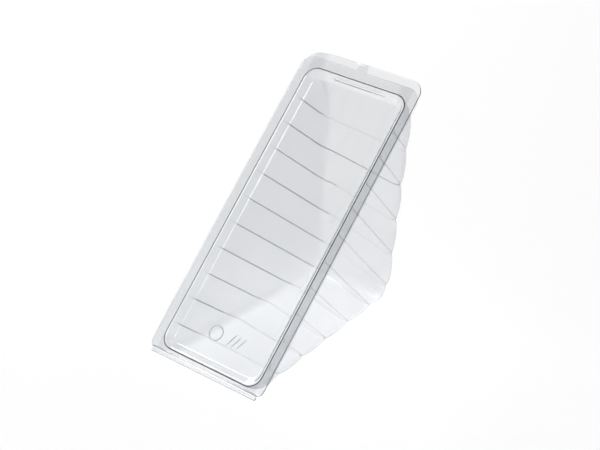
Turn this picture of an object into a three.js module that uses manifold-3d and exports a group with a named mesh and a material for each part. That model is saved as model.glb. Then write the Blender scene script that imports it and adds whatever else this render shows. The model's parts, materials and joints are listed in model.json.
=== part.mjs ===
import * as THREE from 'three';
import { mergeVertices } from 'three/addons/utils/BufferGeometryUtils.js';
import Module from 'manifold-3d';

// Clear hinged wedge pack for a cut sandwich, in millimetres.
// It is drawn in the lid's own frame and then tipped onto its floor.
// u runs across the pack, v runs up the lid from the hinge, n points out of the lid.

// Driving dimensions of the whole pack
const LID_LENGTH = 190;
const FLANGE_WIDTH = 79;
const SHEET = 0.5;
const CLEARANCE = 0.3;
const FLOOR_ANGLE = 45;
const BACK_CORNER_ANGLE = 90;

// Lid panel, a shallow dish that plugs into the mouth of the tray
const PANEL_HALF_WIDTH = 33.2;
const PANEL_START = 2.9;
const PANEL_END = 179;
const PANEL_DEPTH = 4.3;
const PANEL_WALL_SPREAD = 4.2;
const PANEL_RADIUS = 8;
const PLUG_GAP = 0.6;

// Tray walls
const SIDE_DRAFT = 0.085;
const FLOOR_DROP = 8;
const BACK_REACH = 5;
const APEX_RADIUS = 12;
const SIDE_RADIUS = 8;
const HINGE_END_RADIUS = 6;
const TOP_END_RADIUS = 10;

// Ribs that run round the side walls, the floor and the back
const RIB_PITCH = 16;
const RIB_START = 16.5;
const RIB_COUNT = 10;
const RIB_DEPTH = 1.8;
const RIB_RAMP = 4.5;
const RIM_BAND = 2.5;
const RIB_FADE = 2.5;

// Pull tabs: each leaf keeps its tab on one half of the top edge
const TAB_LENGTH = 4.5;
const LID_TAB_EDGE = -3.5;
const BASE_TAB_EDGE = 1.5;
const TAB_STEP_SLANT = 1.2;
const TOP_CORNER_RADIUS = 8;
const HINGE_CORNER_RADIUS = 5;

// Hinge bead, the rolled strip that joins the two leaves
const BEAD_RADIUS = 1.6;
const BEAD_BORE = 1.1;
const BEAD_HALF_LENGTH = 33;
const BEAD_SIDES = 20;

// Fineness of the round stretches
const ARC_STEPS = 5;
const SECTION_ARC_STEPS = 4;
const CUT_MARGIN = 1;
const STATION_GAP = 0.3;

const floorSlope = Math.tan(THREE.MathUtils.degToRad(FLOOR_ANGLE));
const backAngle = 180 - BACK_CORNER_ANGLE - FLOOR_ANGLE;
const backSlope = Math.tan(THREE.MathUtils.degToRad(backAngle));
const halfWidth = FLANGE_WIDTH / 2;
const hingeV = -BEAD_RADIUS;
const hingeN = -(SHEET + CLEARANCE / 2);
const baseTop = -(SHEET + CLEARANCE);

const wasm = await Module();
wasm.setup();

// Turns a closed mesh into a solid that can be joined and cut.
function toSolid(geometry) {
  const bare = geometry.clone();
  bare.deleteAttribute('normal');
  bare.deleteAttribute('uv');
  const merged = mergeVertices(bare, 1e-5);
  const vertProperties = new Float32Array(merged.attributes.position.array);
  const triVerts = new Uint32Array(merged.index.array);
  return new wasm.Manifold(new wasm.Mesh({ numProp: 3, vertProperties, triVerts }));
}

// Turns a solid back into a geometry with flat-shaded faces.
function toGeometry(solid) {
  const mesh = solid.getMesh();
  const indexed = new THREE.BufferGeometry();
  const corners = new THREE.BufferAttribute(new Float32Array(mesh.vertProperties), mesh.numProp);
  indexed.setAttribute('position', corners);
  indexed.setIndex(new THREE.BufferAttribute(new Uint32Array(mesh.triVerts), 1));
  const geometry = indexed.toNonIndexed();
  geometry.computeVertexNormals();
  return geometry;
}

// Volume enclosed by a triangle list, negative where its faces point inwards.
function signedVolume(points, triangles) {
  const cross = new THREE.Vector3();
  let volume = 0;
  for (const [a, b, c] of triangles) {
    cross.crossVectors(points[b], points[c]);
    volume += points[a].dot(cross) / 6;
  }
  return volume;
}

// Skins a row of convex closed sections and caps both ends.
function loft(sections) {
  const count = sections[0].length;
  const points = sections.flat();
  const triangles = [];
  for (let i = 0; i + 1 < sections.length; i += 1) {
    for (let j = 0; j < count; j += 1) {
      const next = (j + 1) % count;
      const a = i * count + j;
      const b = i * count + next;
      const c = a + count;
      const d = b + count;
      triangles.push([a, b, d]);
      triangles.push([a, d, c]);
    }
  }
  const last = (sections.length - 1) * count;
  for (let j = 1; j + 1 < count; j += 1) {
    triangles.push([0, j + 1, j]);
    triangles.push([last, last + j, last + j + 1]);
  }
  const outward = signedVolume(points, triangles) > 0;
  const order = outward ? triangles : triangles.map(([a, b, c]) => [a, c, b]);
  const geometry = new THREE.BufferGeometry();
  geometry.setAttribute('position', new THREE.Float32BufferAttribute(points.flatMap((p) => [p.x, p.y, p.z]), 3));
  geometry.setIndex(order.flat());
  return geometry;
}

// The circle that rounds the back corner, tangent to the floor and to the back wall.
function backCorner(radius, inset) {
  const floorRadians = THREE.MathUtils.degToRad(FLOOR_ANGLE);
  const backRadians = THREE.MathUtils.degToRad(backAngle);
  const floorSet = (radius + inset) / Math.cos(floorRadians);
  const backSet = (radius + inset) / Math.cos(backRadians);
  const reach = LID_LENGTH + BACK_REACH;
  const rise = reach * backSlope - FLOOR_DROP * floorSlope;
  const v = (rise + floorSet - backSet) / (floorSlope + backSlope);
  const depth = (v + FLOOR_DROP) * floorSlope - floorSet;
  return {
    v,
    depth,
    radius,
    start: v - radius * Math.sin(floorRadians),
    end: v + radius * Math.sin(backRadians),
  };
}

// How much a quarter round of this radius takes away at a distance from its end.
function roundLoss(distance, radius) {
  if (distance >= radius) return 0;
  const left = radius - Math.max(distance, 0);
  return radius - Math.sqrt(radius * radius - left * left);
}

// Depth of the ribs' inward wave at a place up the lid, 0 on the flat crests.
function ribWave(v) {
  const nearest = Math.round((v - RIB_START) / RIB_PITCH);
  const index = THREE.MathUtils.clamp(nearest, 0, RIB_COUNT - 1);
  const away = Math.abs(v - RIB_START - index * RIB_PITCH);
  return RIB_DEPTH * Math.max(0, 1 - away / RIB_RAMP);
}

// The tray's skin at one offset inwards from its outer face.
function traySkin(inset) {
  const start = PANEL_START - PLUG_GAP - SHEET + inset;
  const end = PANEL_END + PLUG_GAP + SHEET - inset;
  return {
    inset,
    start,
    end,
    planRadius: PANEL_RADIUS - inset,
    hingeRadius: HINGE_END_RADIUS - inset,
    topRadius: TOP_END_RADIUS - inset,
    corner: backCorner(APEX_RADIUS - inset, inset),
  };
}

// Depth of the tray below the lid's outer face along its centre line.
function trayDepth(skin, v) {
  const floorSet = skin.inset * Math.hypot(1, floorSlope);
  const backSet = skin.inset * Math.hypot(1, backSlope);
  const { corner } = skin;
  let depth = (v + FLOOR_DROP) * floorSlope - floorSet;
  if (v > corner.end) depth = (LID_LENGTH + BACK_REACH - v) * backSlope - backSet;
  if (v > corner.start && v <= corner.end) {
    depth = corner.depth + Math.sqrt(corner.radius ** 2 - (v - corner.v) ** 2);
  }
  const rounding = roundLoss(v - skin.start, skin.hingeRadius) + roundLoss(skin.end - v, skin.topRadius);
  return depth - rounding - ribWave(v);
}

// Half width of the tray at a place up the lid and a depth below it.
function trayHalfWidth(skin, v, depth) {
  const mouth = PANEL_HALF_WIDTH + PLUG_GAP + SHEET - skin.inset;
  const plan = roundLoss(v - skin.start, skin.planRadius) + roundLoss(skin.end - v, skin.planRadius);
  const below = depth + baseTop;
  const fade = THREE.MathUtils.clamp((below - RIM_BAND) / RIB_FADE, 0, 1);
  return mouth - plan - SIDE_DRAFT * below - ribWave(v) * fade;
}

// One section of the tray across the pack, as a closed convex loop.
function traySection(skin, v, top) {
  const bottom = trayDepth(skin, v);
  const height = bottom + baseTop;
  const widest = trayHalfWidth(skin, v, bottom);
  const radius = Math.min(SIDE_RADIUS - skin.inset, height / 2, widest / 2);
  const straight = height - radius;
  const band = Math.min(RIM_BAND, straight / 3);
  const ribbed = Math.min(RIM_BAND + RIB_FADE, (2 * straight) / 3);
  const levels = [top, band - baseTop, ribbed - baseTop, straight - baseTop];
  const side = levels.map((depth) => [trayHalfWidth(skin, v, Math.max(depth, -baseTop)), depth]);
  const foot = side[side.length - 1][0];
  for (let k = 1; k <= SECTION_ARC_STEPS; k += 1) {
    const angle = (k / SECTION_ARC_STEPS) * (Math.PI / 2);
    side.push([foot - radius * (1 - Math.cos(angle)), bottom - radius * (1 - Math.sin(angle))]);
  }
  const right = side.map(([u, depth]) => new THREE.Vector3(u, v, -depth));
  const left = side.map(([u, depth]) => new THREE.Vector3(-u, v, -depth)).reverse();
  return [...right, ...left];
}

// Places up the lid where the tray's section changes: its end rounds, ribs and back corner.
function trayStations(skin) {
  const places = [skin.start, skin.end];
  for (let k = 1; k <= ARC_STEPS; k += 1) {
    const part = 1 - Math.cos((k / ARC_STEPS) * (Math.PI / 2));
    places.push(skin.start + skin.planRadius * part);
    places.push(skin.end - skin.planRadius * part);
    places.push(skin.end - skin.topRadius * part);
  }
  for (let k = 0; k <= 2 * ARC_STEPS; k += 1) {
    const share = k / (2 * ARC_STEPS);
    places.push(THREE.MathUtils.lerp(skin.corner.start, skin.corner.end, share));
  }
  for (let k = 0; k < RIB_COUNT; k += 1) {
    const valley = RIB_START + k * RIB_PITCH;
    places.push(valley - RIB_RAMP, valley, valley + RIB_RAMP);
  }
  const inside = places.filter((v) => v >= skin.start && v <= skin.end).sort((a, b) => a - b);
  const kept = inside.filter((v, k) => k === 0 || v - inside[k - 1] > STATION_GAP || v === skin.end);
  return kept;
}

function traySolid(inset, top) {
  const skin = traySkin(inset);
  return toSolid(loft(trayStations(skin).map((v) => traySection(skin, v, top))));
}

// A flange plate with its tab on the left or right half of the top edge.
function flangePlate({ bottom, leftTop, rightTop, step, slant, top }) {
  const r = TOP_CORNER_RADIUS;
  const h = HINGE_CORNER_RADIUS;
  const shape = new THREE.Shape();
  shape.moveTo(-halfWidth + h, bottom);
  shape.lineTo(halfWidth - h, bottom);
  shape.absarc(halfWidth - h, bottom + h, h, -Math.PI / 2, 0, false);
  shape.lineTo(halfWidth, rightTop - r);
  shape.absarc(halfWidth - r, rightTop - r, r, 0, Math.PI / 2, false);
  shape.lineTo(step + slant, rightTop);
  shape.lineTo(step - slant, leftTop);
  shape.lineTo(-halfWidth + r, leftTop);
  shape.absarc(-halfWidth + r, leftTop - r, r, Math.PI / 2, Math.PI, false);
  shape.lineTo(-halfWidth, bottom + h);
  shape.absarc(-halfWidth + h, bottom + h, h, Math.PI, 1.5 * Math.PI, false);
  const plate = new THREE.ExtrudeGeometry(shape, { depth: SHEET, bevelEnabled: false, curveSegments: ARC_STEPS });
  plate.translate(0, 0, top - SHEET);
  return toSolid(plate);
}

// A ring of the lid's dish: a rounded rectangle at one height.
function dishRing(n, spread) {
  const shrink = (-n / PANEL_DEPTH) * PANEL_WALL_SPREAD - spread;
  const wide = PANEL_HALF_WIDTH - shrink;
  const low = PANEL_START + shrink;
  const high = PANEL_END - shrink;
  const radius = Math.max(PANEL_RADIUS - shrink, 1);
  const corners = [
    [wide - radius, high - radius, 0],
    [-wide + radius, high - radius, 1],
    [-wide + radius, low + radius, 2],
    [wide - radius, low + radius, 3],
  ];
  const ring = [];
  for (const [u, v, quarter] of corners) {
    for (let k = 0; k <= ARC_STEPS; k += 1) {
      const angle = (quarter + k / ARC_STEPS) * (Math.PI / 2);
      ring.push(new THREE.Vector3(u + radius * Math.cos(angle), v + radius * Math.sin(angle), n));
    }
  }
  return ring;
}

// The rolled bead along the hinge, open at both ends.
function beadSolid() {
  const outer = new THREE.CylinderGeometry(BEAD_RADIUS, BEAD_RADIUS, 2 * BEAD_HALF_LENGTH, BEAD_SIDES);
  const bore = new THREE.CylinderGeometry(BEAD_BORE, BEAD_BORE, 2 * (BEAD_HALF_LENGTH + CUT_MARGIN), BEAD_SIDES);
  for (const cylinder of [outer, bore]) {
    cylinder.rotateZ(Math.PI / 2);
    cylinder.translate(0, hingeV, hingeN);
  }
  return toSolid(outer).subtract(toSolid(bore));
}

function wedgeBase() {
  const plate = flangePlate({
    bottom: hingeV + BEAD_RADIUS + CLEARANCE,
    leftTop: LID_LENGTH,
    rightTop: LID_LENGTH - TAB_LENGTH,
    step: BASE_TAB_EDGE,
    slant: TAB_STEP_SLANT,
    top: baseTop,
  });
  const shell = plate.add(traySolid(0, -baseTop));
  return toGeometry(shell.subtract(traySolid(SHEET, -baseTop - CUT_MARGIN)));
}

function wedgeLid() {
  const plate = flangePlate({
    bottom: hingeV + (BEAD_RADIUS + BEAD_BORE) / 2,
    leftTop: LID_LENGTH - TAB_LENGTH,
    rightTop: LID_LENGTH,
    step: LID_TAB_EDGE,
    slant: TAB_STEP_SLANT,
    top: 0,
  });
  const wallOffset = SHEET * Math.hypot(1, PANEL_WALL_SPREAD / PANEL_DEPTH);
  const outer = toSolid(loft([dishRing(-SHEET / 2, wallOffset), dishRing(-PANEL_DEPTH - SHEET, wallOffset)]));
  const inner = toSolid(loft([dishRing(CUT_MARGIN, 0), dishRing(-PANEL_DEPTH, 0)]));
  return toGeometry(plate.add(outer).subtract(inner).add(beadSolid()));
}

function clearSheet(colour) {
  return new THREE.MeshStandardMaterial({
    color: colour,
    roughness: 0.12,
    metalness: 0,
    transparent: true,
    opacity: 0.35,
    side: THREE.DoubleSide,
  });
}

const base = new THREE.Mesh(wedgeBase(), clearSheet(0xe6e9ec));
base.name = 'wedge_base';

const lid = new THREE.Mesh(wedgeLid(), clearSheet(0xdfe3e6));
lid.name = 'wedge_lid';

// Tips the lid's frame so that the floor is level, and centres the pack on its own footprint.
const pack = new THREE.Group();
pack.add(base, lid);
pack.rotation.x = THREE.MathUtils.degToRad(FLOOR_ANGLE);
pack.position.z = FLOOR_DROP * Math.sin(THREE.MathUtils.degToRad(FLOOR_ANGLE));
pack.updateMatrixWorld(true);
const extent = new THREE.Box3().setFromObject(pack, true);
pack.position.y = -(extent.min.y + extent.max.y) / 2;

const group = new THREE.Group();
group.add(pack);

export default group;
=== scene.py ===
"""A clear hinged wedge pack for a cut sandwich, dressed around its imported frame."""

import json
import logging
import math
from dataclasses import dataclass, field
from enum import Enum

import bmesh
import bpy
from mathutils import Matrix, Vector


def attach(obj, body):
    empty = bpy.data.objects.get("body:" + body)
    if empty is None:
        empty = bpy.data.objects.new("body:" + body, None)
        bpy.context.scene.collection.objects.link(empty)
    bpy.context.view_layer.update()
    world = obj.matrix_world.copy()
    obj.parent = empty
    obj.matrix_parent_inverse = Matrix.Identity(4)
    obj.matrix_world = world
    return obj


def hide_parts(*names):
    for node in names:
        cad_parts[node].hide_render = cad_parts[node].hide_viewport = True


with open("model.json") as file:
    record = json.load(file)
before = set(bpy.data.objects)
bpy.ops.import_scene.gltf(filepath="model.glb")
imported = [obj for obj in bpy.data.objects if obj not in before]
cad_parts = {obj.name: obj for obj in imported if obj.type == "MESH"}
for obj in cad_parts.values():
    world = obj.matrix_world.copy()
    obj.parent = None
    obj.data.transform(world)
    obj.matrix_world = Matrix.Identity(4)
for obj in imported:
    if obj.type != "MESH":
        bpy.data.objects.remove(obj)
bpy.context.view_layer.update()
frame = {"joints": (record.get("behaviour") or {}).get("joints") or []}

MM = 0.001
# Painted shade: the tray's side walls are darkened by this colour, in place of the darker look they have
# where they are seen at a slant.
PAINTED_WALL_SHADE = (0.89, 0.892, 0.90)
# Distances from the pack's middle, in metres, between which that painted shade sets in and ends again.
WALL_SHADE_IN = (0.0235, 0.0285)
WALL_SHADE_OUT = (0.0338, 0.0348)
# Larger faces are shaded flat, so that a bend beside them doesn't spread over them.
FLAT_AREA = 100 * MM * MM
# Faces that meet at more than this angle, in degrees, have a sharp edge.
SHARP_DEG = 42.0
# The rings of a flange's lip: distance inside the flange's edge and height of the lip, in mm.
LIP = ((1.4, 0.0), (0.9, 0.08), (0.4, 0.22), (0.0, 0.35))
# Distances that count as nothing: a rounding error, and the gap between two points that touch.
TINY = 1e-6
TOUCH = 1e-4
# The vertex value that says how strongly painted shade darkens the sheet along its crease lines.
CREASE_SHADE_LAYER = "crease"
log = logging.getLogger("wedge_pack")


class Half(Enum):
    """The half of the top edge that a leaf keeps its pull tab on."""

    LEFT = -1
    RIGHT = 1


def unit(value: float) -> float:
    """A value held between 0 and 1."""
    return min(max(value, 0.0), 1.0)


def round_loss(distance: float, radius: float) -> float:
    """How much a quarter round takes away near its end.

    Args:
        distance: distance from the end, in mm.
        radius: radius of the quarter round, in mm.

    Returns:
        The loss in mm, 0 past the round.
    """
    if distance >= radius:
        return 0.0
    left = radius - max(distance, 0.0)
    return radius - math.sqrt(radius * radius - left * left)


def quarter_places(radius: float, steps: int) -> list[float]:
    """Distances from an end at which a quarter round is cut into even angles.

    Args:
        radius: radius of the round, in mm.
        steps: number of parts of the quarter turn.

    Returns:
        Distances in mm, from 0 to the radius.
    """
    return [radius * (1 - math.cos(k / steps * math.pi / 2)) for k in range(steps + 1)]


def smooth_piece(
    name: str, mesh: bmesh.types.BMesh, material: bpy.types.Material
) -> bpy.types.Object:
    """Makes a finished mesh an object with one material and smooth shading.

    Args:
        name: the piece's name.
        mesh: its mesh, which is freed.
        material: its material.

    Returns:
        The new object, at the origin.
    """
    data = bpy.data.meshes.new(name)
    mesh.to_mesh(data)
    mesh.free()
    data.shade_smooth()
    data.materials.append(material)
    piece = bpy.data.objects.new(name, data)
    bpy.context.scene.collection.objects.link(piece)
    return piece


@dataclass(frozen=True)
class LidFrame:
    """The lid's own frame: u across the pack, v up the lid, n out of it, in mm.

    Attributes:
        tilt_deg: angle between the lid and the floor.
        hinge_v: place of the hinge axis up the lid.
        hinge_n: place of the hinge axis out of the lid.
    """

    tilt_deg: float = 45.0
    hinge_v: float = -1.6
    hinge_n: float = -0.65

    def matrix(self) -> Matrix:
        """Turns mm in the lid's frame into metres in the row's frame.

        Returns:
            The matrix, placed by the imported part's hinge.
        """
        joint = frame["joints"][0]
        turn = Matrix.Rotation(math.radians(self.tilt_deg), 4, "X")
        hinge = turn @ (Vector((0.0, self.hinge_v, self.hinge_n)) * MM)
        move = Matrix.Translation(Vector(joint["pos_m"]) - hinge)
        return move @ turn @ Matrix.Diagonal((MM, MM, MM, 1.0))


@dataclass(frozen=True)
class FlangeOutline:
    """Outer edge of one leaf's flange, with the tab on one half of its top edge.

    Attributes:
        half_width: half the flange's width, in mm.
        bottom: place of the edge by the hinge.
        length: place of the tab's edge at the top.
        tab_length: how far the tab stands past the other half.
        tab: the half that the tab is on.
        step: place across the pack where the tab ends.
        slant: half the width of the slanted step.
        top_radius: radius of the two top corners.
        hinge_radius: radius of the two corners by the hinge.
        most_inward: largest share of the way back to the mouth that a ring goes.
        straight: from this part of a direction on, an edge counts as straight.
    """

    bottom: float
    tab: Half
    step: float
    half_width: float = 39.5
    length: float = 190.0
    tab_length: float = 4.5
    slant: float = 0.6
    top_radius: float = 8.0
    hinge_radius: float = 3.0
    most_inward: float = 0.9
    straight: float = 0.999

    def top(self, u: float) -> float:
        """Place of the top edge, which steps back on the half without the tab."""
        past = (u - self.step) / self.slant * self.tab.value
        return self.length - self.tab_length * (1 - unit((past + 1) / 2))

    def step_places(self, loop: "MouthLoop") -> list[float]:
        """Places across a mouth that lie inside the two ends of the tab's step."""
        scale = (loop.half_width - loop.radius) / (self.half_width - self.top_radius)
        return [(self.step - self.slant) * scale, (self.step + self.slant) * scale]

    def ring(
        self, loop: "MouthLoop", places: list[tuple[float, float]], inward: float, n: float
    ) -> list[Vector]:
        """Points of one ring of the flange at a distance inside its outline.

        Args:
            loop: the mouth that the flange surrounds.
            places: the mouth's points (u, v) in order.
            inward: distance inside the outline, in mm.
            n: the ring's place out of the lid away from the hinge, in mm.

        Returns:
            The ring's points in the lid's frame.
        """
        spots = []
        for u, v in places:
            out_u, out_v = self.beside(loop, u, v)
            share = min(inward / math.hypot(out_u - u, out_v - v), self.most_inward)
            spots.append(Vector((out_u + (u - out_u) * share, out_v + (v - out_v) * share, n)))
        return spots

    def beside(self, loop: "MouthLoop", u: float, v: float) -> tuple[float, float]:
        """The outline's own point that lies outside a point of the mouth.

        Args:
            loop: the mouth that the flange surrounds.
            u: place across the pack of the mouth's point.
            v: place up the lid of the mouth's point.

        Returns:
            The place (u, v) on the outline.
        """
        side = 1.0 if u > 0 else -1.0
        across, along = loop.normal(u, v)
        radius = self.hinge_radius if along < 0 else self.top_radius
        if abs(across) > self.straight:
            return side * self.half_width, v
        if abs(along) > self.straight:
            out_u = u * (self.half_width - radius) / (loop.half_width - loop.radius)
            return out_u, self.bottom if along < 0 else self.top(out_u)
        edge = self.top(side * self.half_width)
        centre = self.bottom + radius if along < 0 else edge - radius
        return side * (self.half_width - radius) + radius * across, centre + radius * along


@dataclass(frozen=True)
class MouthLoop:
    """A rounded rectangle in the lid's plane.

    Attributes:
        half_width: half its width, in mm.
        low: its end by the hinge.
        high: its end at the top.
        radius: its corner radius.
    """

    half_width: float
    low: float
    high: float
    radius: float

    def normal(self, u: float, v: float) -> tuple[float, float]:
        """The outward direction of the loop nearest to a point on it.

        Args:
            u: place across the pack.
            v: place up the lid.

        Returns:
            The direction (across, along), of length 1.
        """
        over_u = abs(u) - (self.half_width - self.radius)
        over_low = self.low + self.radius - v
        over_high = v - (self.high - self.radius)
        over_v = max(over_low, over_high)
        side = 1.0 if u > 0 else -1.0
        end = 1.0 if over_high > over_low else -1.0
        if over_u > TINY and over_v > TINY:
            size = math.hypot(over_u, over_v)
            return side * over_u / size, end * over_v / size
        if over_v > over_u:
            return 0.0, end
        return side, 0.0

    def inset(self, amount: float) -> "MouthLoop":
        """The same loop drawn in by an amount, with the same corner centres."""
        return MouthLoop(
            self.half_width - amount,
            self.low + amount,
            self.high - amount,
            self.radius - amount,
        )

    def points(self, arc_steps: int, across: list[float], along: list[float]) -> list[tuple[float, float]]:
        """Points round the loop, anticlockwise from the right-hand side.

        Args:
            arc_steps: parts of each corner's quarter turn.
            across: places of the points on the two ends.
            along: places of the points on the two sides.

        Returns:
            The places (u, v) in order.
        """
        wide = self.half_width - self.radius
        high = self.high - self.radius
        low = self.low + self.radius
        turns = [k / arc_steps * math.pi / 2 for k in range(arc_steps + 1)]
        places = [(self.half_width, v) for v in along]
        places += [(wide + self.radius * math.cos(t), high + self.radius * math.sin(t)) for t in turns]
        places += [(u, self.high) for u in reversed(across)]
        places += [(-wide - self.radius * math.sin(t), high + self.radius * math.cos(t)) for t in turns]
        places += [(-self.half_width, v) for v in reversed(along)]
        places += [(-wide - self.radius * math.cos(t), low - self.radius * math.sin(t)) for t in turns]
        places += [(u, self.low) for u in across]
        places += [(wide + self.radius * math.sin(t), low - self.radius * math.cos(t)) for t in turns]
        return places


class SheetMesh:
    """A sheet grown edge by edge in the lid's frame and then given its thickness."""

    def __init__(self, name: str) -> None:
        """Starts an empty sheet.

        Args:
            name: the name of its piece.
        """
        self.name = name
        self.mesh = bmesh.new()
        # Vertex value for the painted shade along the crease lines.
        self.crease = self.mesh.verts.layers.float.new(CREASE_SHADE_LAYER)

    def chain(self, places: list[Vector], closed: bool) -> list[bmesh.types.BMVert]:
        """Makes a row of joined vertices.

        Args:
            places: places in the lid's frame, in mm.
            closed: True to join the last to the first.

        Returns:
            The new vertices in order.
        """
        verts = [self.mesh.verts.new(place) for place in places]
        ends = verts[1:] + verts[:1] if closed else verts[1:]
        for a, b in zip(verts, ends):
            self.mesh.edges.new((a, b))
        return verts

    def grow(
        self, row: list[bmesh.types.BMVert], places: list[Vector], closed: bool
    ) -> list[bmesh.types.BMVert]:
        """Extrudes a row of vertices to new places.

        Args:
            row: the row's vertices in order.
            places: the new row's places, one for each vertex.
            closed: True if the row is a ring.

        Returns:
            The new row's vertices in order.
        """
        ends = row[1:] + row[:1] if closed else row[1:]
        edges = [self.mesh.edges.get(pair) for pair in zip(row, ends)]
        grown = bmesh.ops.extrude_edge_only(self.mesh, edges=edges)["geom"]
        by_place = {tuple(g.co): g for g in grown if isinstance(g, bmesh.types.BMVert)}
        new = [by_place[tuple(vert.co)] for vert in row]
        for vert, place in zip(new, places):
            vert.co = place
        return new

    def mark(self, row: list[bmesh.types.BMVert], marks: list[float]) -> None:
        """Writes how strongly painted shade darkens each vertex of a row along a crease.

        Args:
            row: the row's vertices.
            marks: one value of 0 to 1 for each vertex.
        """
        for vert, value in zip(row, marks):
            vert[self.crease] = value

    def finish(self, to_row: Matrix, thickness: float) -> bpy.types.Object:
        """Places the sheet, thickens it inwards and makes it an object.

        Args:
            to_row: the lid frame's matrix.
            thickness: the sheet's thickness in metres.

        Returns:
            The finished object, at the origin.
        """
        bmesh.ops.transform(self.mesh, matrix=to_row, verts=self.mesh.verts)
        skin = bpy.data.meshes.new(self.name + "_skin")
        self.mesh.to_mesh(skin)
        self.mesh.free()
        piece = bpy.data.objects.new(self.name, skin)
        bpy.context.scene.collection.objects.link(piece)
        wall = piece.modifiers.new("wall", "SOLIDIFY")
        wall.thickness = thickness
        wall.offset = -1.0
        wall.use_even_offset = True
        wall.use_quality_normals = True
        graph = bpy.context.evaluated_depsgraph_get()
        thick = bpy.data.meshes.new_from_object(piece.evaluated_get(graph))
        piece.modifiers.clear()
        piece.data = thick
        bpy.data.meshes.remove(skin)
        thick.name = self.name
        thick.shade_smooth()
        thick.set_sharp_from_angle(angle=math.radians(SHARP_DEG))
        for face in thick.polygons:
            face.use_smooth = face.area < FLAT_AREA
        return piece


@dataclass
class Tray:
    """The deep ribbed tray with its flange and its half of the pull tabs.

    Sizes are in mm, in the lid's frame. A depth is measured down from the lid's face.

    Attributes:
        half_width: half the mouth's width.
        start: the mouth's end by the hinge.
        end: the mouth's end at the top.
        plan_radius: corner radius of the mouth.
        side_draft: how much a side wall leans in for each mm of depth.
        floor_drop: depth of the floor's line at place 0.
        back_reach: place up the lid where the back's line would meet the lid's face.
        apex_radius: radius of the corner between floor and back.
        side_radius: radius between a side wall and the floor or back.
        hinge_end_radius: radius of the floor's end by the hinge.
        top_end_radius: radius of the back's end at the top.
        round_steps: parts of the quarter turn of the mouth's corners and the top end.
        hinge_end_steps: parts of the quarter turn of the end by the hinge.
        apex_steps: sections on each side of the corner between floor and back.
        station_gap: sections nearer together than this are made one.
        rib_pitch: distance from rib to rib.
        rib_start: place of the first rib.
        rib_count: number of ribs.
        rib_floor: depth of the ribs on the floor.
        rib_back: depth of the ribs high on the back.
        rib_wall: depth of the ribs on the side walls.
        deepen_from: place from which the ribs deepen.
        deepen_over: length over which they do.
        last_rib_from: place from which the last rib is shallower.
        last_rib_over: length over which it becomes so.
        last_rib_loss: share of its depth that the last rib lacks.
        rib_ramp: half a rib's width.
        rib_bend: power of a rib's profile.
        rib_lean: how far a rib of the left wall leans up the lid for each mm of depth.
        lean_fade: length at each end over which the lean fades out.
        foot_tries: rounds of the search for a wall's foot.
        crease_ramp: half the width of a rib's crease.
        crease_share: share of a rib's depth that is its crease.
        crease_shade_ramp: half the width of a crease's painted shade line.
        crease_shade_mean: mean strength of the painted shade lines.
        crease_shade_swing: how much their strength varies from rib to rib.
        crease_shade_turn: pace of that variation.
        back_crease_shade: strength of the painted shade lines on the back.
        right_crease_shade: strength of the painted shade lines on the right wall beside the floor.
        rim_band: depth below the flange that the ribs leave plain.
        rib_fade: depth over which they fade in below it.
        flange_top: place of the flange's upper face.
        sheet: thickness of the sheet.
        wall_rows: rows of faces down a side wall.
        wall_crowd: power that crowds those rows towards the mouth.
        foot_rows: rows of faces round a wall's foot.
        floor_rows: rows of faces across the floor.
        rib_places: distances from a rib's middle at which sections are cut.
        cap_shares: places of points along an end's top edge, as shares of its half width.
        outline: outer edge of the flange.
    """

    half_width: float = 34.3
    start: float = 1.8
    end: float = 180.1
    plan_radius: float = 8.0
    side_draft: float = 0.085
    floor_drop: float = 8.0
    back_reach: float = 195.0
    apex_radius: float = 12.0
    side_radius: float = 8.0
    hinge_end_radius: float = 6.0
    top_end_radius: float = 12.5
    round_steps: int = 8
    hinge_end_steps: int = 6
    apex_steps: int = 8
    station_gap: float = 0.12
    rib_pitch: float = 16.0
    rib_start: float = 16.5
    rib_count: int = 10
    rib_floor: float = 0.5
    rib_back: float = 1.7
    rib_wall: float = 1.2
    deepen_from: float = 100.0
    deepen_over: float = 50.0
    last_rib_from: float = 153.0
    last_rib_over: float = 6.0
    last_rib_loss: float = 0.75
    rib_ramp: float = 6.5
    rib_bend: float = 1.5
    rib_lean: float = 0.1
    lean_fade: float = 24.0
    foot_tries: int = 20
    crease_ramp: float = 0.9
    crease_share: float = 0.3
    crease_shade_ramp: float = 0.6
    crease_shade_mean: float = 0.8
    crease_shade_swing: float = 0.2
    crease_shade_turn: float = 2.4
    back_crease_shade: float = 0.55
    right_crease_shade: float = 0.3
    rim_band: float = 2.5
    rib_fade: float = 2.5
    flange_top: float = -0.8
    sheet: float = 0.5
    wall_rows: int = 14
    wall_crowd: float = 1.6
    foot_rows: int = 8
    floor_rows: int = 6
    rib_places: tuple[float, ...] = (0.0, 0.2, 0.45, 0.9, 1.3, 2.0, 3.0, 4.2, 5.4, 6.5)
    cap_shares: tuple[float, ...] = (-0.75, -0.5, -0.25, 0.25, 0.5, 0.75)
    outline: FlangeOutline = field(
        default_factory=lambda: FlangeOutline(bottom=0.3, tab=Half.LEFT, step=1.5)
    )

    @property
    def flange_under(self) -> float:
        """Place of the flange's underside."""
        return self.flange_top - self.sheet

    def loop(self) -> MouthLoop:
        """The tray's outer edge at its mouth."""
        return MouthLoop(self.half_width, self.start, self.end, self.plan_radius)

    def nearest_rib(self, v: float) -> tuple[int, float]:
        """Finds the rib that is nearest to a place up the lid.

        Args:
            v: the place.

        Returns:
            The rib's number from 0, and its distance in mm.
        """
        nearest = round((v - self.rib_start) / self.rib_pitch)
        index = min(max(nearest, 0), self.rib_count - 1)
        return index, abs(v - self.rib_start - index * self.rib_pitch)

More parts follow.
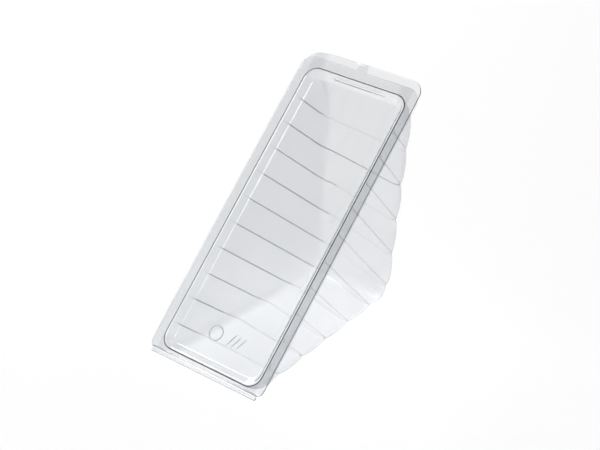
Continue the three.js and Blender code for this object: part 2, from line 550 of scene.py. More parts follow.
    def wave(self, v: float) -> float:
        """How far the ribs' inward wave has risen at a place up the lid.

        Args:
            v: the place.

        Returns:
            The share, 0 to 1.
        """
        _, away = self.nearest_rib(v)
        bulge = max(0.0, 1 - away / self.rib_ramp) ** self.rib_bend
        crease = max(0.0, 1 - away / self.crease_ramp)
        return bulge * (1 - self.crease_share) + crease * self.crease_share

    def fade(self, depth: float) -> float:
        """Share, 0 to 1, of the ribs at a depth: they fade out below the flange."""
        share = unit((depth + self.flange_top - self.rim_band) / self.rib_fade)
        return share * share * (3 - 2 * share)

    def crease_shading(self, place: float, row: list[Vector]) -> list[float]:
        """How strongly painted shade darkens each point of a section along a rib's crease.

        Args:
            place: the section's place at the mouth.
            row: the section's points.

        Returns:
            One value of 0 to 1 for each point.
        """
        index, away = self.nearest_rib(place)
        varied = self.crease_shade_mean + self.crease_shade_swing * math.sin(self.crease_shade_turn * index)
        strength = max(0.0, 1 - away / self.crease_shade_ramp) * varied
        floor_rib = place < self.back_reach / 2 - self.apex_radius
        edge = len(row) // 2 - self.floor_rows // 2 - 1
        marks = []
        for k, point in enumerate(row):
            on_floor = edge < k < len(row) - 1 - edge
            if on_floor:
                part = 1.0 if floor_rib else self.back_crease_shade
            else:
                part = self.right_crease_shade if floor_rib and point.x > 0 else 1.0
            marks.append(strength * part * self.fade(-point.z))
        return marks

    def rib_deep(self, v: float) -> float:
        """Depth of the ribs on the floor and the back, where they are deepest near the top.

        Args:
            v: place up the lid.

        Returns:
            The depth of the ribs in mm.
        """
        share = unit((v - self.deepen_from) / self.deepen_over)
        last = unit((v - self.last_rib_from) / self.last_rib_over)
        return (self.rib_floor + (self.rib_back - self.rib_floor) * share) * (1 - self.last_rib_loss * last)

    def depth(self, v: float) -> float:
        """Depth of the tray along its centre line, without ribs.

        Args:
            v: place up the lid.

        Returns:
            The depth in mm.
        """
        centre = (self.back_reach - self.floor_drop) / 2
        rise = (self.back_reach + self.floor_drop) / 2 - self.apex_radius * math.sqrt(2)
        reach = self.apex_radius / math.sqrt(2)
        deep = min(v + self.floor_drop, self.back_reach - v)
        if abs(v - centre) < reach:
            deep = rise + math.sqrt(self.apex_radius ** 2 - (v - centre) ** 2)
        ends = round_loss(v - self.start, self.hinge_end_radius)
        ends += round_loss(self.end - v, self.top_end_radius)
        return deep - ends

    def lean(self, place: float, depth: float, far: float) -> float:
        """How far a rib has moved up the lid at a depth, 0 at the two ends.

        Args:
            place: place of the section at the mouth.
            depth: depth below the lid's face.
            far: 1 on the left wall, whose ribs lean, and 0 on the right wall, whose ribs don't.

        Returns:
            The shift in mm.
        """
        share = unit(min(place - self.start, self.end - place) / self.lean_fade)
        return self.rib_lean * far * share * share * (3 - 2 * share) * (depth + self.flange_under)

    def foot_of(self, place: float, far: float) -> float:
        """Depth at which the leaning section that starts at a place meets the floor or back.

        Args:
            place: place of the section at the mouth.
            far: 1 on the left wall and 0 on the right wall.

        Returns:
            The depth in mm.
        """
        deep = self.depth(place)
        for _ in range(self.foot_tries):
            v = place + self.lean(place, deep, far)
            deep = 0.5 * (deep + self.depth(v) - self.wave(place) * self.rib_deep(v))
        return deep

    def wide(self, place: float, depth: float, far: float) -> float:
        """Half width of the section that starts at a place of the mouth, at a depth.

        Args:
            place: place of the section at the mouth.
            depth: depth below the lid's face.
            far: 1 on the left wall and 0 on the right wall.

        Returns:
            The half width in mm.
        """
        v = place + self.lean(place, depth, far)
        plan = round_loss(v - self.start, self.plan_radius)
        plan += round_loss(self.end - v, self.plan_radius)
        below = depth + self.flange_top
        rib = self.wave(place) * self.rib_wall * self.fade(depth)
        return self.half_width - plan - self.side_draft * below - rib

    def wall(self, place: float, far: float) -> list[Vector]:
        """Points of one side of a section, from the mouth down to the floor.

        Args:
            place: place of the section at the mouth.
            far: 1 for the left wall and 0 for the right wall.

        Returns:
            The wall's and its foot's points.
        """
        mouth = -self.flange_under
        bottom = self.foot_of(place, far)
        widest = self.wide(place, bottom, far)
        radius = min(self.side_radius, (bottom - mouth) / 2, widest / 2)
        straight = bottom - radius
        shares = [(k / self.wall_rows) ** self.wall_crowd for k in range(self.wall_rows + 1)]
        rows = [mouth + (straight - mouth) * share for share in shares]
        side = [(self.wide(place, depth, far), depth) for depth in rows]
        foot = side[-1][0]
        for k in range(1, self.foot_rows + 1):
            turn = k / self.foot_rows * math.pi / 2
            side.append((foot - radius * (1 - math.cos(turn)), bottom - radius * (1 - math.sin(turn))))
        out = -1.0 if far else 1.0
        return [Vector((out * u, place + self.lean(place, depth, far), -depth)) for u, depth in side]

    def section(self, place: float) -> list[Vector]:
        """Points of one section, from the left of the mouth round the floor to the right.

        Args:
            place: place of the section at the mouth.

        Returns:
            The section's points in the lid's frame.
        """
        left, right = self.wall(place, 1.0), self.wall(place, 0.0)
        floor = []
        for k in range(1, self.floor_rows):
            far = 1 - k / self.floor_rows
            deep = self.foot_of(place, far)
            u = left[-1].x * far + right[-1].x * (1 - far)
            floor.append(Vector((u, place + self.lean(place, deep, far), -deep)))
        return left + floor + list(reversed(right))

    def stations(self) -> list[float]:
        """Chooses where the tray's sections are cut: at its rounds, its corner and its ribs.

        Returns:
            The places up the lid, in order.
        """
        places: set[float] = set()
        for away in quarter_places(self.plan_radius, self.round_steps):
            places |= {self.start + away, self.end - away}
        for away in quarter_places(self.top_end_radius, self.round_steps):
            places.add(self.end - away)
        for away in quarter_places(self.hinge_end_radius, self.hinge_end_steps):
            places.add(self.start + away)
        centre = (self.back_reach - self.floor_drop) / 2
        reach = self.apex_radius / math.sqrt(2)
        for k in range(2 * self.apex_steps + 1):
            v = centre + reach * (k / self.apex_steps - 1)
            places.add(v - self.rib_lean * (self.depth(v) + self.flange_under))
        for rib in range(self.rib_count):
            valley = self.rib_start + rib * self.rib_pitch
            for away in self.rib_places:
                places |= {valley - away, valley + away}
        kept: list[float] = []
        for place in sorted(p for p in places if self.start <= p <= self.end):
            if not kept or place - kept[-1] > self.station_gap:
                kept.append(place)
        kept[-1] = self.end
        return kept

    def build(self, to_row: Matrix) -> bpy.types.Object:
        """Builds the tray as one sheet.

        Args:
            to_row: the lid frame's matrix.

        Returns:
            The tray's object.
        """
        sheet = SheetMesh("tray")
        rows = [sheet.chain(self.section(self.start), closed=False)]
        for place in self.stations()[1:]:
            points = self.section(place)
            rows.append(sheet.grow(rows[-1], points, closed=False))
            sheet.mark(rows[-1], self.crease_shading(place, points))
        left = [row[0] for row in rows]
        right = [row[-1] for row in rows]
        ends = [self.cap(sheet, row) for row in (rows[0], rows[-1])]
        ring = right + list(reversed(ends[1])) + list(reversed(left)) + ends[0]
        self.flange(sheet, ring)
        bmesh.ops.recalc_face_normals(sheet.mesh, faces=sheet.mesh.faces)
        if self.faces_inwards(sheet):
            bmesh.ops.reverse_faces(sheet.mesh, faces=sheet.mesh.faces)
        return sheet.finish(to_row, self.sheet * MM)

    def faces_inwards(self, sheet: SheetMesh) -> bool:
        """Finds out which way the tray's faces look.

        Args:
            sheet: the sheet in hand.

        Returns:
            True if the floor looks towards the lid.
        """
        sheet.mesh.normal_update()
        deepest = min(sheet.mesh.faces, key=lambda face: face.calc_center_median().z)
        return deepest.normal.z > 0

    def cap(self, sheet: SheetMesh, row: list[bmesh.types.BMVert]) -> list[bmesh.types.BMVert]:
        """Closes one end of the tray with a flat wall.

        Args:
            sheet: the sheet in hand.
            row: the end section's vertices, from left to right.

        Returns:
            The new vertices along the wall's top edge, from left to right.
        """
        first, last = row[0].co, row[-1].co
        even = [first.x * share for share in self.cap_shares]
        across = sorted(even + self.outline.step_places(self.loop()))
        top = [sheet.mesh.verts.new((u, first.y, last.z)) for u in across]
        sheet.mesh.faces.new(row + list(reversed(top)))
        return top

    def flange(self, sheet: SheetMesh, ring: list[bmesh.types.BMVert]) -> None:
        """Bends the mouth's edge outwards into the flange.

        Args:
            sheet: the sheet in hand.
            ring: the mouth's vertices in order.
        """
        loop = self.loop()
        places = [(vert.co.x, vert.co.y) for vert in ring]
        row = ring
        for inward, bend in LIP:
            spots = self.outline.ring(loop, places, inward, self.flange_under - bend)
            row = sheet.grow(row, spots, closed=True)

    def dress(self, to_row: Matrix, finish: "ClearSheet") -> None:
        """Builds the tray, gives it its finish and puts it on its body.

        Args:
            to_row: the lid frame's matrix.
            finish: the tray's finish.
        """
        piece = self.build(to_row)
        piece.data.materials.append(finish.material())
        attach(piece, "base")
        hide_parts("wedge_base")
        log.info("tray: %d faces", len(piece.data.polygons))


@dataclass
class Lid:
    """The flat lid: recessed panel, flange, pull tab and the folded hinge strip.

    Sizes are in mm, in the lid's frame.

    Attributes:
        half_width: half the recess's width at its rim.
        start: the rim's end by the hinge.
        end: the rim's end at the top.
        radius: corner radius of the rim.
        panel_depth: depth of the panel below the lid's face.
        wall_spread: how far the recess's sloping wall reaches inwards.
        panel_margin: width of the panel's outermost ring of faces.
        fillet: radius of the bends at the wall's foot and rim.
        fillet_steps: parts of each bend.
        wall_rows: rows of faces between the bends.
        sheet: thickness of the sheet.
        arc_steps: parts of each corner's quarter turn.
        side_parts: parts of each long side.
        end_shares: places of points on the two ends, as shares of their half length.
        strip_half_length: half the length of the folded hinge strip.
        strip: profile of that strip, as places (v, n).
        snap_middle: place across the pack of the snap bar's middle.
        snap_half_length: half the bar's length.
        snap_end: length of the slope at each end of the bar.
        snap_proud: how far the bar stands out.
        snap_inset: the bar's middle, inwards from the rim.
        snap_half_width: half the bar's width.
        snap_above: the bar starts no further than this below the top wall's foot.
        outline: outer edge of the flange.
    """

    half_width: float = 33.2
    start: float = 2.9
    end: float = 179.0
    radius: float = 8.0
    panel_depth: float = 4.3
    wall_spread: float = 4.2
    panel_margin: float = 2.2
    fillet: float = 2.6
    fillet_steps: int = 8
    wall_rows: int = 6
    sheet: float = 0.5
    arc_steps: int = 12
    side_parts: int = 24
    end_shares: tuple[float, ...] = (-0.9, -0.45, -0.3, 0.2, 0.35, 0.5, 0.9)
    strip_half_length: float = 36.6
    strip: tuple[tuple[float, float], ...] = (
        (-0.55, 0.12),
        (-0.85, -0.10),
        (-1.40, -0.18),
        (-2.30, -0.18),
        (-2.75, -0.30),
        (-3.05, -0.60),
        (-3.10, -0.95),
        (-2.90, -1.30),
        (-2.50, -1.48),
        (-1.70, -1.52),
        (-1.00, -1.52),
    )
    snap_middle: float = 2.0
    snap_half_length: float = 18.0
    snap_end: float = 1.5
    snap_proud: float = 1.2
    snap_inset: float = 1.5
    snap_half_width: float = 0.9
    snap_above: float = 1.2
    outline: FlangeOutline = field(
        default_factory=lambda: FlangeOutline(bottom=-0.25, tab=Half.RIGHT, step=-3.5)
    )

    def profile(self) -> list[tuple[float, float]]:
        """The section of the recess's wall, from the panel up to the rim.

        Returns:
            Its points, as places (inwards from the rim, n) in mm.
        """
        slope = math.atan2(self.panel_depth, self.wall_spread)
        reach = self.fillet * math.tan(slope / 2)
        foot, rim = [], []
        for k in range(self.fillet_steps + 1):
            turn = slope * k / self.fillet_steps
            along, rise = self.fillet * math.sin(turn), self.fillet * (1 - math.cos(turn))
            foot.append((self.wall_spread + reach - along, rise - self.panel_depth))
            rim.append((along - reach, -rise))
        gap = (foot[-1][0] - rim[-1][0]) / (self.wall_rows + 1)
        straight = [foot[-1][0] - gap * k for k in range(1, self.wall_rows + 1)]
        wall = [(s, -s * self.panel_depth / self.wall_spread) for s in straight]
        panel = (self.wall_spread + self.panel_margin, -self.panel_depth)
        return [panel] + foot + wall + list(reversed(rim))

    def snap(self, u: float, v: float, inset: float) -> float:
        """How far the snap bar on the top wall stands out towards the panel.

        Args:
            u: place across the pack.
            v: place up the lid.
            inset: distance inwards from the rim.

        Returns:
            The bar's height there in mm.
        """
        if v < self.end - self.wall_spread - self.snap_above:
            return 0.0
        away = abs(u - self.snap_middle) - self.snap_half_length
        end = unit(-away / self.snap_end)
        height = max(0.0, 1 - ((inset - self.snap_inset) / self.snap_half_width) ** 2)
        return self.snap_proud * end * height

    def across(self, rim: MouthLoop) -> list[float]:
        """Chooses the points on the rim's two ends.

        Args:
            rim: the rim of the recess.

        Returns:
            Their places across the pack, in order.
        """
        edge = self.half_width - self.radius
        bar = []
        for side in (-1, 1):
            for more in (-self.snap_end, 0.0):
                bar.append(self.snap_middle + side * (self.snap_half_length + more))
        even = [edge * share for share in self.end_shares]
        return sorted(bar + even + self.outline.step_places(rim))

    def build(self, to_row: Matrix) -> bpy.types.Object:
        """Builds the lid as one sheet.

        Args:
            to_row: the lid frame's matrix.

        Returns:
            The lid's object.
        """
        sheet = SheetMesh("lid")
        rim = MouthLoop(self.half_width, self.start, self.end, self.radius)
        across = self.across(rim)
        side = self.end - self.start - 2 * self.radius
        parts = self.side_parts
        along = [self.start + self.radius + side * k / parts for k in range(1, parts)]
        row: list[bmesh.types.BMVert] = []
        for inset, n in self.profile():
            places = rim.inset(inset).points(self.arc_steps, across, along)
            spots = [Vector((u, v - self.snap(u, v, inset), n)) for u, v in places]
            if row:
                row = sheet.grow(row, spots, closed=True)
            else:
                row = sheet.chain(spots, closed=True)
                sheet.mesh.faces.new(row)
        places = rim.points(self.arc_steps, across, along)
        for inward, bend in LIP:
            row = sheet.grow(row, self.outline.ring(rim, places, inward, bend), closed=True)
        self.fold_strip(sheet, row)
        bmesh.ops.recalc_face_normals(sheet.mesh, faces=sheet.mesh.faces)
        sheet.mesh.normal_update()
        panel = max(sheet.mesh.faces, key=lambda face: face.calc_area())
        if panel.normal.z < 0:
            bmesh.ops.reverse_faces(sheet.mesh, faces=sheet.mesh.faces)
        return sheet.finish(to_row, self.sheet * MM)

    def fold_strip(self, sheet: SheetMesh, ring: list[bmesh.types.BMVert]) -> None:
        """Folds the lid's lower edge round the hinge axis.

        Args:
            sheet: the sheet in hand.
            ring: the flange's outer vertices in order.
        """
        low = [vert for vert in ring if abs(vert.co.y - self.outline.bottom) < TOUCH]
        folded = [vert for vert in low if abs(vert.co.x) <= self.strip_half_length]
        row = sorted(folded, key=lambda vert: vert.co.x)
        for v, n in self.strip:
            row = sheet.grow(row, [Vector((vert.co.x, v, n)) for vert in row], closed=False)

    def dress(self, to_row: Matrix, finish: "ClearSheet") -> None:
        """Builds the lid, gives it its finish and puts it on its body.

        Args:
            to_row: the lid frame's matrix.
            finish: the lid's finish.
        """
        piece = self.build(to_row)
        piece.data.materials.append(finish.material())
        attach(piece, "lid")
        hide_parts("wedge_lid")
        log.info("lid: %d faces", len(piece.data.polygons))


@dataclass
class PanelMark:
    """A plain raised ring with three strokes beside it, low on the lid's panel.

    Sizes are in mm, in the lid's frame.

    Attributes:
        ring_radius: radius of the ring's middle line.
        ring_u: place of the ring's middle across the pack.
        stroke_length: length of a stroke.
        stroke_u: place of the first stroke across the pack.
        stroke_gap: distance from stroke to stroke.
        stroke_turn_deg: how far the strokes lean to the right.
        strokes: number of strokes.
        half_width: half the width of the raised lines.
        half_height: their height above the panel.
        place_v: place of the mark up the lid.
        panel_n: place of the panel out of the lid.
        ring_steps: parts of the ring.
        profile_sides: sides of the ring's section.
        stroke_sides: sides of a stroke's section.
        stroke_rows: rows of faces along a stroke.
    """

    ring_radius: float = 4.2
    ring_u: float = -7.0
    stroke_length: float = 8.5
    stroke_u: float = 4.0
    stroke_gap: float = 3.4
    stroke_turn_deg: float = 24.0
    strokes: int = 3
    half_width: float = 0.45
    half_height: float = 0.22
    place_v: float = 21.0
    panel_n: float = -4.3
    ring_steps: int = 48
    profile_sides: int = 10
    stroke_sides: int = 12
    stroke_rows: int = 20

    def ring(self, mesh: bmesh.types.BMesh) -> None:
        """Adds the ring to an empty mesh.

        Args:
            mesh: the mark's mesh, whose origin is the middle of the panel.
        """
        verts = []
        for k in range(self.profile_sides):
            turn = 2 * math.pi * k / self.profile_sides
            across = self.ring_radius + self.half_width * math.cos(turn)
            verts.append(mesh.verts.new((across, 0.0, self.half_height * math.sin(turn))))
        edges = [mesh.edges.new(pair) for pair in zip(verts, verts[1:] + verts[:1])]
        bmesh.ops.spin(
            mesh,
            geom=verts + edges,
            cent=(0, 0, 0),
            axis=(0, 0, 1),
            angle=2 * math.pi,
            steps=self.ring_steps,
            use_merge=True,
        )
        bmesh.ops.remove_doubles(mesh, verts=mesh.verts, dist=TOUCH)
        bmesh.ops.translate(mesh, verts=mesh.verts, vec=(self.ring_u, 0.0, 0.0))

    def dress(self, to_row: Matrix, finish: "ClearSheet") -> None:
        """Builds the mark, gives it its finish and puts it on the lid's body.

        Args:
            to_row: the lid frame's matrix.
            finish: the mark's finish.
        """
        mesh = bmesh.new()
        self.ring(mesh)
        size = Matrix.Diagonal((self.half_width, self.stroke_length / 2, self.half_height, 1.0))
        turn = Matrix.Rotation(math.radians(-self.stroke_turn_deg), 4, "Z")
        for k in range(self.strokes):
            move = Matrix.Translation((self.stroke_u + k * self.stroke_gap, 0.0, 0.0))
            bmesh.ops.create_uvsphere(
                mesh,
                u_segments=self.stroke_sides,
                v_segments=self.stroke_rows,
                radius=1.0,
                matrix=move @ turn @ size,
            )
        place = Matrix.Translation((0.0, self.place_v, self.panel_n))
        bmesh.ops.transform(mesh, matrix=to_row @ place, verts=mesh.verts)
        bmesh.ops.recalc_face_normals(mesh, faces=mesh.faces)
        piece = smooth_piece("panel_mark", mesh, finish.material())
        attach(piece, "lid")
        log.info("panel mark: %d faces", len(piece.data.polygons))


def wavy_sheet_group() -> bpy.types.NodeTree:
    """Builds the node group for the slight waves, haze and tint of formed clear sheet, and for its painted
    shade on the side walls and along the crease lines.

    Returns:
        The group, with named inputs and the outputs Colour, Roughness and Height.
    """
    tree = bpy.data.node_groups.new("FormedSheetSurface", "ShaderNodeTree")
    face = tree.interface
    for name, kind, value in (
        ("Vector", "NodeSocketVector", None),
        ("Tint", "NodeSocketColor", (0.9, 0.91, 0.92, 1.0)),
        ("Haze Tint", "NodeSocketColor", (0.85, 0.86, 0.87, 1.0)),
        ("Painted Side Shade", "NodeSocketColor", (1.0, 1.0, 1.0, 1.0)),
        ("Crease", "NodeSocketFloat", 0.0),
        ("Painted Crease Shade", "NodeSocketColor", (0.83, 0.838, 0.85, 1.0)),
        ("Wave Scale", "NodeSocketFloat", 40.0),
        ("Haze Scale", "NodeSocketFloat", 18.0),
        ("Roughness Low", "NodeSocketFloat", 0.02),
        ("Roughness High", "NodeSocketFloat", 0.08),
    ):
        socket = face.new_socket(name=name, in_out="INPUT", socket_type=kind)
        if value is not None:
            socket.default_value = value
    face.new_socket(name="Colour", in_out="OUTPUT", socket_type="NodeSocketColor")
    face.new_socket(name="Roughness", in_out="OUTPUT", socket_type="NodeSocketFloat")
    face.new_socket(name="Height", in_out="OUTPUT", socket_type="NodeSocketFloat")
    nodes, links = tree.nodes, tree.links
    given = nodes.new("NodeGroupInput")
    out = nodes.new("NodeGroupOutput")
    wave = nodes.new("ShaderNodeTexNoise")
    wave.inputs["Detail"].default_value = 1.5
    haze = nodes.new("ShaderNodeTexNoise")
    haze.inputs["Detail"].default_value = 4.0
    tint = nodes.new("ShaderNodeMix")
    tint.data_type = "RGBA"
    rough = nodes.new("ShaderNodeMapRange")
    # Painted shade: the side walls are darkened by the side colour, between two distances across the pack.
    split = nodes.new("ShaderNodeSeparateXYZ")
    across = nodes.new("ShaderNodeMath")
    across.operation = "ABSOLUTE"
    side = nodes.new("ShaderNodeMapRange")
    side.interpolation_type = "SMOOTHSTEP"
    side.inputs["From Min"].default_value = WALL_SHADE_IN[0]
    side.inputs["From Max"].default_value = WALL_SHADE_IN[1]
    flange = nodes.new("ShaderNodeMapRange")
    flange.interpolation_type = "SMOOTHSTEP"
    flange.inputs["From Min"].default_value = WALL_SHADE_OUT[0]
    flange.inputs["From Max"].default_value = WALL_SHADE_OUT[1]
    flange.inputs["To Min"].default_value = 1.0
    flange.inputs["To Max"].default_value = 0.0
    wall = nodes.new("ShaderNodeMath")
    wall.operation = "MULTIPLY"
    paint_side_shade = nodes.new("ShaderNodeMix")
    paint_side_shade.data_type = "RGBA"
    paint_side_shade.blend_type = "MULTIPLY"
    links.new(given.outputs["Vector"], split.inputs["Vector"])
    links.new(split.outputs["X"], across.inputs[0])
    links.new(across.outputs[0], side.inputs["Value"])
    links.new(across.outputs[0], flange.inputs["Value"])
    links.new(side.outputs["Result"], wall.inputs[0])
    links.new(flange.outputs["Result"], wall.inputs[1])
    links.new(wall.outputs[0], paint_side_shade.inputs["Factor"])
    links.new(tint.outputs["Result"], paint_side_shade.inputs["A"])
    links.new(given.outputs["Painted Side Shade"], paint_side_shade.inputs["B"])
    links.new(given.outputs["Vector"], wave.inputs["Vector"])
    links.new(given.outputs["Vector"], haze.inputs["Vector"])
    links.new(given.outputs["Wave Scale"], wave.inputs["Scale"])
    links.new(given.outputs["Haze Scale"], haze.inputs["Scale"])
    links.new(haze.outputs["Fac"], tint.inputs["Factor"])
    links.new(given.outputs["Tint"], tint.inputs["A"])
    links.new(given.outputs["Haze Tint"], tint.inputs["B"])
    links.new(haze.outputs["Fac"], rough.inputs["Value"])
    links.new(given.outputs["Roughness Low"], rough.inputs["To Min"])
    links.new(given.outputs["Roughness High"], rough.inputs["To Max"])
    # Painted shade: the colour is darkened by the crease colour along the crease lines, as strongly as the
    # Crease value says.
    pressed = nodes.new("ShaderNodeMix")
    pressed.data_type = "RGBA"
    pressed.blend_type = "MULTIPLY"
    links.new(given.outputs["Crease"], pressed.inputs["Factor"])
    links.new(paint_side_shade.outputs["Result"], pressed.inputs["A"])
    links.new(given.outputs["Painted Crease Shade"], pressed.inputs["B"])
    links.new(pressed.outputs["Result"], out.inputs["Colour"])
    links.new(rough.outputs["Result"], out.inputs["Roughness"])
    links.new(wave.outputs["Fac"], out.inputs["Height"])
    return tree


@dataclass(frozen=True)
class ClearSheet:
    """Finish of the clear glossy sheet.

    Attributes:
        name: the material's name.
        group: the shared surface node group.
        tint: colour of the clean sheet.
        haze_tint: colour where the sheet is a little hazy.
        painted_side_shade: painted shade, the colour that the two side walls are darkened by.
        wave_scale: fineness of the sheet's slight waves.
        wave_height: height of the waves, in metres.
        roughness: lowest and highest roughness.
        shadow_tint: colour of the lamp light that passes through.
        ior: refractive index of the clear polyester.
    """

    name: str
    group: bpy.types.NodeTree
    tint: tuple[float, float, float] = (0.94, 0.947, 0.954)
    haze_tint: tuple[float, float, float] = (0.885, 0.894, 0.906)
    painted_side_shade: tuple[float, float, float] = (1.0, 1.0, 1.0)
    wave_scale: float = 45.0
    wave_height: float = 0.00012
    roughness: tuple[float, float] = (0.02, 0.07)
    shadow_tint: tuple[float, float, float] = (0.965, 0.965, 0.965)
    ior: float = 1.57

    def material(self) -> bpy.types.Material:
        """Builds the material: clear to the eye, and letting lamp light through.

        Returns:
            The new material.
        """
        made = bpy.data.materials.new(self.name)
        made.use_nodes = True
        nodes, links = made.node_tree.nodes, made.node_tree.links
        nodes.clear()
        out = nodes.new("ShaderNodeOutputMaterial")
        place = nodes.new("ShaderNodeTexCoord")
        surface = nodes.new("ShaderNodeGroup")
        surface.node_tree = self.group
        surface.inputs["Tint"].default_value = (*self.tint, 1.0)
        surface.inputs["Haze Tint"].default_value = (*self.haze_tint, 1.0)
        # Painted shade for the two side walls.
        surface.inputs["Painted Side Shade"].default_value = (*self.painted_side_shade, 1.0)
        surface.inputs["Wave Scale"].default_value = self.wave_scale
        surface.inputs["Roughness Low"].default_value = self.roughness[0]
        surface.inputs["Roughness High"].default_value = self.roughness[1]
        # Painted shade along the crease lines, scaled by the vertex value.
        crease = nodes.new("ShaderNodeAttribute")
        crease.attribute_name = CREASE_SHADE_LAYER
        links.new(crease.outputs["Fac"], surface.inputs["Crease"])
        bump = nodes.new("ShaderNodeBump")
        bump.inputs["Strength"].default_value = 1.0
        bump.inputs["Distance"].default_value = self.wave_height
        sheet = nodes.new("ShaderNodeBsdfPrincipled")
        sheet.inputs["Metallic"].default_value = 0.0
        sheet.inputs["IOR"].default_value = self.ior
        sheet.inputs["Transmission Weight"].default_value = 1.0
        path = nodes.new("ShaderNodeLightPath")
        passing = nodes.new("ShaderNodeBsdfTransparent")
        passing.inputs["Color"].default_value = (*self.shadow_tint, 1.0)
        mix = nodes.new("ShaderNodeMixShader")
        links.new(place.outputs["Object"], surface.inputs["Vector"])
        links.new(surface.outputs["Colour"], sheet.inputs["Base Color"])
        links.new(surface.outputs["Roughness"], sheet.inputs["Roughness"])
        links.new(surface.outputs["Height"], bump.inputs["Height"])
        links.new(bump.outputs["Normal"], sheet.inputs["Normal"])
        links.new(path.outputs["Is Shadow Ray"], mix.inputs["Fac"])
        links.new(sheet.outputs["BSDF"], mix.inputs[1])
        links.new(passing.outputs["BSDF"], mix.inputs[2])
        links.new(mix.outputs["Shader"], out.inputs["Surface"])
        return made


@dataclass(frozen=True)
class SoftLamp:
    """A square soft lamp that looks at the pack.

    Attributes:
        name: the lamp's name.
        place: its place, in metres.
        size: its side, in metres.
        power: its power, in watts.
        aim: the place that it looks at.
    """

    name: str
    place: tuple[float, float, float]
    size: float
    power: float
    aim: tuple[float, float, float] = (0.0, 0.0, 0.06)

    def hang(self) -> None:
        """Hangs the lamp in the scene."""
        light = bpy.data.lights.new(self.name, "AREA")
        light.size = self.size
        light.energy = self.power
        lamp = bpy.data.objects.new(self.name, light)
        lamp.location = self.place
        ray = Vector(self.aim) - Vector(self.place)
        lamp.rotation_euler = ray.to_track_quat("-Z", "Y").to_euler()
        bpy.context.scene.collection.objects.link(lamp)


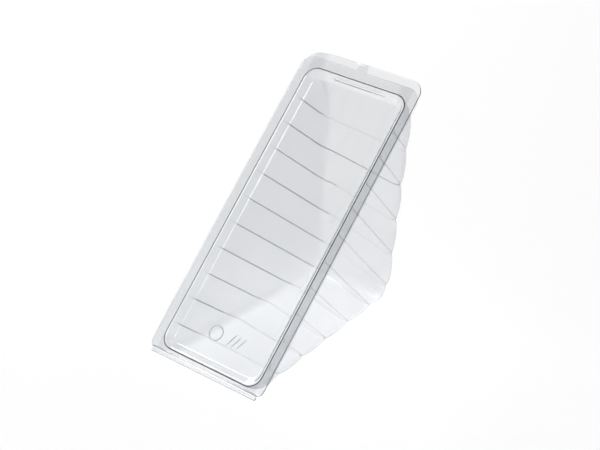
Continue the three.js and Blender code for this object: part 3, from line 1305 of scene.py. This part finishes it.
@dataclass
class Studio:
    """White floor and cyclorama, soft lamps, a grey studio above, and the camera.

    Attributes:
        floor_radius: radius of the round floor with its wall, in metres.
        wall_height: height of the wall, in metres.
        sweep: radius of the bend between them, in metres.
        sweep_steps: parts of that bend.
        turn_steps: parts of the full turn.
        floor_gap: how far the floor lies below the pack, in metres.
        floor_white: how white the floor is.
        floor_rough: how matt it is.
        floor_glow: its own light, for what the camera sees and the pack mirrors.
        sky_low: brightness at the horizon.
        sky_high: brightness overhead.
        sky_top: height in the sky, 0 to 1, from which it is as dark as overhead.
        lamps: the soft lamps.
        camera_place: place of the camera, in metres.
        camera_azimuth_deg: how far the camera has gone round to the pack's right.
        camera_elevation_deg: how far it looks down.
        camera_roll_deg: its turn about its line of sight.
        camera_lens: focal length, in mm.
        camera_shift: shift of the picture, to the right and up.
    """

    floor_radius: float = 2.6
    wall_height: float = 0.7
    sweep: float = 0.5
    sweep_steps: int = 8
    turn_steps: int = 64
    floor_gap: float = 0.0003
    floor_white: float = 0.8
    floor_rough: float = 0.9
    floor_glow: float = 0.5
    sky_low: float = 0.45
    sky_high: float = 0.10
    sky_top: float = 0.9
    lamps: tuple[SoftLamp, ...] = (
        SoftLamp("key", (-1.7, 0.5, 1.5), 1.3, 24.0),
        SoftLamp("fill", (0.9, -0.8, 1.6), 0.9, 8.0),
    )
    camera_place: tuple[float, float, float] = (0.45355, -0.58807, 0.47034)
    camera_azimuth_deg: float = 37.25
    camera_elevation_deg: float = 28.72
    camera_roll_deg: float = 2.38
    camera_lens: float = 92.97
    camera_shift: tuple[float, float] = (0.0068, 0.0080)

    def backdrop(self) -> None:
        """Builds the floor with its upright wall as one surface of revolution."""
        mesh = bmesh.new()
        level = self.floor_radius - self.sweep
        points = [(0.0, -self.floor_gap), (level, -self.floor_gap)]
        for k in range(1, self.sweep_steps + 1):
            turn = k / self.sweep_steps * math.pi / 2
            rise = self.sweep * (1 - math.cos(turn))
            points.append((level + self.sweep * math.sin(turn), -self.floor_gap + rise))
        points.append((self.floor_radius, self.wall_height))
        verts = [mesh.verts.new((r, 0.0, z)) for r, z in points]
        edges = [mesh.edges.new(pair) for pair in zip(verts, verts[1:])]
        bmesh.ops.spin(
            mesh,
            geom=verts + edges,
            cent=(0, 0, 0),
            axis=(0, 0, 1),
            angle=2 * math.pi,
            steps=self.turn_steps,
            use_merge=True,
        )
        bmesh.ops.remove_doubles(mesh, verts=mesh.verts, dist=TINY)
        bmesh.ops.recalc_face_normals(mesh, faces=mesh.faces)
        smooth_piece("backdrop", mesh, self.white())

    def white(self) -> bpy.types.Material:
        """Builds the white of the floor, which keeps the pack's soft shadow.

        Returns:
            The new material.
        """
        made = bpy.data.materials.new("studio_white")
        made.use_nodes = True
        nodes, links = made.node_tree.nodes, made.node_tree.links
        shader = nodes["Principled BSDF"]
        shader.inputs["Base Color"].default_value = (self.floor_white,) * 3 + (1.0,)
        shader.inputs["Roughness"].default_value = self.floor_rough
        shader.inputs["Specular IOR Level"].default_value = 0.0
        shader.inputs["Emission Color"].default_value = (1.0, 1.0, 1.0, 1.0)
        path = nodes.new("ShaderNodeLightPath")
        seen = nodes.new("ShaderNodeMath")
        seen.operation = "MAXIMUM"
        also = nodes.new("ShaderNodeMath")
        also.operation = "MAXIMUM"
        glow = nodes.new("ShaderNodeMath")
        glow.operation = "MULTIPLY"
        glow.inputs[1].default_value = self.floor_glow
        links.new(path.outputs["Is Camera Ray"], seen.inputs[0])
        links.new(path.outputs["Is Glossy Ray"], seen.inputs[1])
        links.new(seen.outputs[0], also.inputs[0])
        links.new(path.outputs["Is Transmission Ray"], also.inputs[1])
        links.new(also.outputs[0], glow.inputs[0])
        links.new(glow.outputs[0], shader.inputs["Emission Strength"])
        return made

    def sky(self) -> None:
        """A studio that is pale at the horizon and grey overhead."""
        world = bpy.data.worlds.new("studio")
        bpy.context.scene.world = world
        world.use_nodes = True
        nodes, links = world.node_tree.nodes, world.node_tree.links
        place = nodes.new("ShaderNodeTexCoord")
        split = nodes.new("ShaderNodeSeparateXYZ")
        ramp = nodes.new("ShaderNodeMapRange")
        ramp.inputs["From Min"].default_value = 0.0
        ramp.inputs["From Max"].default_value = self.sky_top
        ramp.inputs["To Min"].default_value = self.sky_low
        ramp.inputs["To Max"].default_value = self.sky_high
        back = nodes["Background"]
        links.new(place.outputs["Generated"], split.inputs["Vector"])
        links.new(split.outputs["Z"], ramp.inputs["Value"])
        links.new(ramp.outputs["Result"], back.inputs["Color"])

    def camera(self) -> None:
        """Sets the camera at the photograph's viewing angle."""
        azimuth = math.radians(self.camera_azimuth_deg)
        elevation = math.radians(self.camera_elevation_deg)
        roll = math.radians(self.camera_roll_deg)
        flat = math.cos(elevation)
        look = Vector((-math.sin(azimuth) * flat, math.cos(azimuth) * flat, -math.sin(elevation)))
        level = look.cross(Vector((0.0, 0.0, 1.0))).normalized()
        above = level.cross(look)
        right = level * math.cos(roll) + above * math.sin(roll)
        up = right.cross(look)
        lens = bpy.data.cameras.new("camera")
        lens.lens = self.camera_lens
        lens.shift_x, lens.shift_y = self.camera_shift
        eye = bpy.data.objects.new("camera", lens)
        turn = Matrix((right, up, -look)).transposed().to_4x4()
        eye.matrix_world = Matrix.Translation(self.camera_place) @ turn
        bpy.context.scene.collection.objects.link(eye)
        bpy.context.scene.camera = eye

    def build(self) -> None:
        """Builds the whole studio."""
        self.backdrop()
        self.sky()
        for lamp in self.lamps:
            lamp.hang()
        self.camera()
        bpy.context.scene.view_settings.view_transform = "Standard"


def main() -> None:
    """Builds the studio, the tray and the lid."""
    logging.basicConfig(level=logging.INFO)
    to_row = LidFrame().matrix()
    group = wavy_sheet_group()
    Studio().build()
    tray_sheet = ClearSheet(
        "clear_tray_sheet",
        group,
        # Painted shade on the tray's side walls.
        painted_side_shade=PAINTED_WALL_SHADE,
        wave_scale=30.0,
        wave_height=0.00035,
    )
    Tray().dress(to_row, tray_sheet)
    Lid().dress(to_row, ClearSheet("clear_lid_sheet", group))
    PanelMark().dress(to_row, ClearSheet("clear_mark", group))
    log.info("studio: %d lamps", len(Studio.lamps))


if __name__ == "__main__":
    main()
